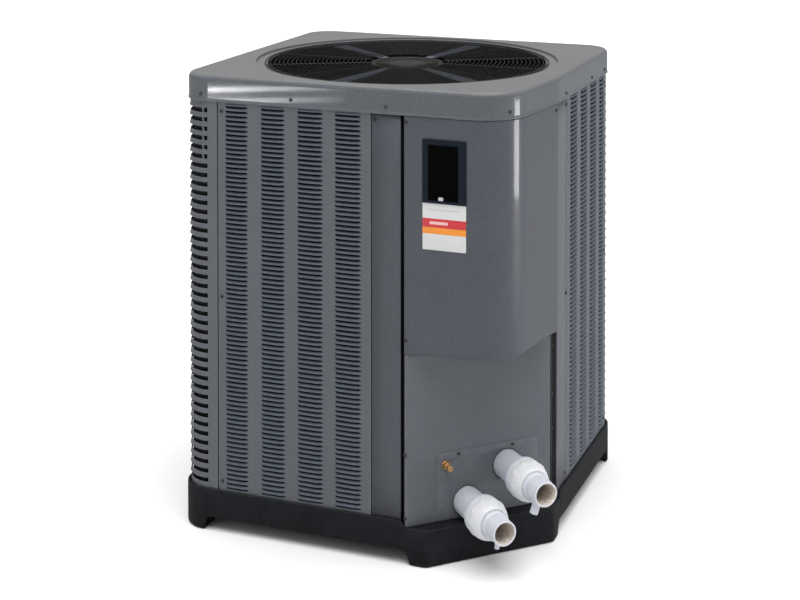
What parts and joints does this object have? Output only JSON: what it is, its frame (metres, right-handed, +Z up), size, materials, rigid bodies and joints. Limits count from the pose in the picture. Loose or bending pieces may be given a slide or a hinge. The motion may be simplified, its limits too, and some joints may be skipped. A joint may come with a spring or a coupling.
{
  "type": "pool heat pump",
  "caption": "Upright pool and spa heat pump: louvred grey cabinet, top fan under a wire guard, bulged control cover, chamfered plumbing corner with two water unions, black base pan.",
  "frame": {"origin": "centre of the overall footprint, water stubs included, on the floor under the feet; the cabinet centre is 29 mm to -X and 23 mm to +Y of it", "axes": "+Z up; +X right, -Y to the louvred front; the plumbing corner is cut off at +X -Y"},
  "size_m": [0.9839, 0.9078, 1.16],
  "materials": {
    "bakelite": "moulded phenolic",
    "bezel_plastic": "gloss navy black plastic",
    "blade_alu": "mill finish sheet",
    "board_green": "printed circuit board",
    "brass": "turned brass",
    "capacitor_can": "drawn can",
    "casing_paint": "semi-gloss speckled dark grey baked paint",
    "coil_fin": "finned coil",
    "compressor_paint": "black enamel",
    "copper": "drawn copper tube",
    "cover_paint": "semi-gloss dark grey baked paint",
    "guard_wire": "black coated steel wire",
    "key_plastic": "moulded key cap",
    "label_stock": "printed plain label stock",
    "motor_paint": "black enamel",
    "pan_plastic": "textured black moulded plastic",
    "pvc_white": "white pipe plastic",
    "rubber_black": "black seal rubber",
    "screen_glass": "display glass",
    "screw_steel": "black coated screw",
    "shaft_steel": "ground steel",
    "shell_plastic": "moulded exchanger shell",
    "smoked_glass": "smoked clear cover",
    "strap_steel": "grey coated steel strap",
    "titanium": "titanium tube",
    "wire_loom": "sleeved wires",
    "zinc_steel": "zinc plated sheet"
  },
  "bodies": {
    "casing": {"access_panel": "casing_paint", "accumulator": "compressor_paint", "base_pan": "pan_plastic", "brass_fitting": "brass", "casing_screws": "screw_steel", "compressor": "compressor_paint", "compressor_bolts": "zinc_steel", "compressor_grommets": "rubber_black", "contactor_body": "bakelite", "control_board": "board_green", "control_box": "zinc_steel", "control_cover": "casing_paint", "corner_guard_back_left": "casing_paint", "corner_guard_back_right": "casing_paint", "corner_guard_front_left": "casing_paint", "discharge_line": "copper", "display_bezel": "bezel_plastic", "evaporator_coil": "coil_fin", "expansion_valve": "brass", "fan_guard": "guard_wire", "fan_motor": "motor_paint", "filter_drier": "copper", "heat_exchanger_coil": "titanium", "heat_exchanger_shell": "shell_plastic", "keypad_body": "bezel_plastic", "label_plate": "label_stock", "lcd_screen": "screen_glass", "liquid_line": "copper", "louver_panel_back": "casing_paint", "louver_panel_front": "casing_paint", "louver_panel_left": "casing_paint", "louver_panel_right": "casing_paint", "motor_bracket": "strap_steel", "pipe_grommets": "rubber_black", "plumbing_plate": "casing_paint", "post_front": "casing_paint", "post_right": "casing_paint", "run_capacitor": "capacitor_can", "suction_line": "copper", "top_cover": "cover_paint", "transformer": "zinc_steel", "union_bodies": "pvc_white", "union_seals": "rubber_black", "union_tails": "pvc_white", "water_pipes": "pvc_white", "water_pressure_switch": "brass", "wiring_harness": "wire_loom"},
    "display_door": {"display_door": "smoked_glass"},
    "fan_rotor": {"motor_shaft": "shaft_steel", "fan_hub": "shaft_steel", "fan_blades": "blade_alu"},
    "key_power": {"key_power": "key_plastic"},
    "key_mode": {"key_mode": "key_plastic"},
    "key_down": {"key_down": "key_plastic"},
    "key_up": {"key_up": "key_plastic"},
    "contactor_armature": {"contactor_armature": "bakelite"},
    "union_nut_in": {"union_nut_in": "pvc_white"},
    "union_nut_out": {"union_nut_out": "pvc_white"},
    "drain_plug_in": {"drain_plug_in": "pvc_white"},
    "drain_plug_out": {"drain_plug_out": "pvc_white"}
  },
  "joints": [
    {"name": "fan_spin", "type": "hinge", "parent": "casing", "child": "fan_rotor", "pos_m": [-0.02895, 0.02292, 1.035], "axis": [0, 0, 1], "continuous": true},
    {"name": "door_hinge", "type": "hinge", "parent": "casing", "child": "display_door", "pos_m": [0.22705, -0.40308, 1.0235], "axis": [-1, 0, 0], "range_deg": [0, 105]},
    {"name": "key_power_press", "type": "slide", "parent": "casing", "child": "key_power", "axis": [0, 1, 0], "range_m": [0, 0.001], "stiffness_N_per_m": 1500},
    {"name": "key_mode_press", "type": "slide", "parent": "casing", "child": "key_mode", "axis": [0, 1, 0], "range_m": [0, 0.001], "stiffness_N_per_m": 1500},
    {"name": "key_down_press", "type": "slide", "parent": "casing", "child": "key_down", "axis": [0, 1, 0], "range_m": [0, 0.001], "stiffness_N_per_m": 1500},
    {"name": "key_up_press", "type": "slide", "parent": "casing", "child": "key_up", "axis": [0, 1, 0], "range_m": [0, 0.001], "stiffness_N_per_m": 1500},
    {"name": "contactor_pull_in", "type": "slide", "parent": "casing", "child": "contactor_armature", "axis": [0, 1, 0], "range_m": [0, 0.004], "stiffness_N_per_m": 800},
    {"name": "union_nut_in_turn", "type": "hinge", "parent": "casing", "child": "union_nut_in", "pos_m": [0.33911, -0.37886, 0.128], "axis": [0.7071, -0.7071, 0], "continuous": true},
    {"name": "union_nut_out_turn", "type": "hinge", "parent": "casing", "child": "union_nut_out", "pos_m": [0.41689, -0.30108, 0.202], "axis": [0.7071, -0.7071, 0], "continuous": true},
    {"name": "drain_plug_in_turn", "type": "hinge", "parent": "casing", "child": "drain_plug_in", "pos_m": [0.36727, -0.41293, 0.08822], "axis": [-0.0739, -0.0739, -0.9945], "continuous": true},
    {"name": "drain_plug_out_turn", "type": "hinge", "parent": "casing", "child": "drain_plug_out", "pos_m": [0.44151, -0.34505, 0.16441], "axis": [-0.2418, -0.2418, -0.9397], "continuous": true}
  ]
}
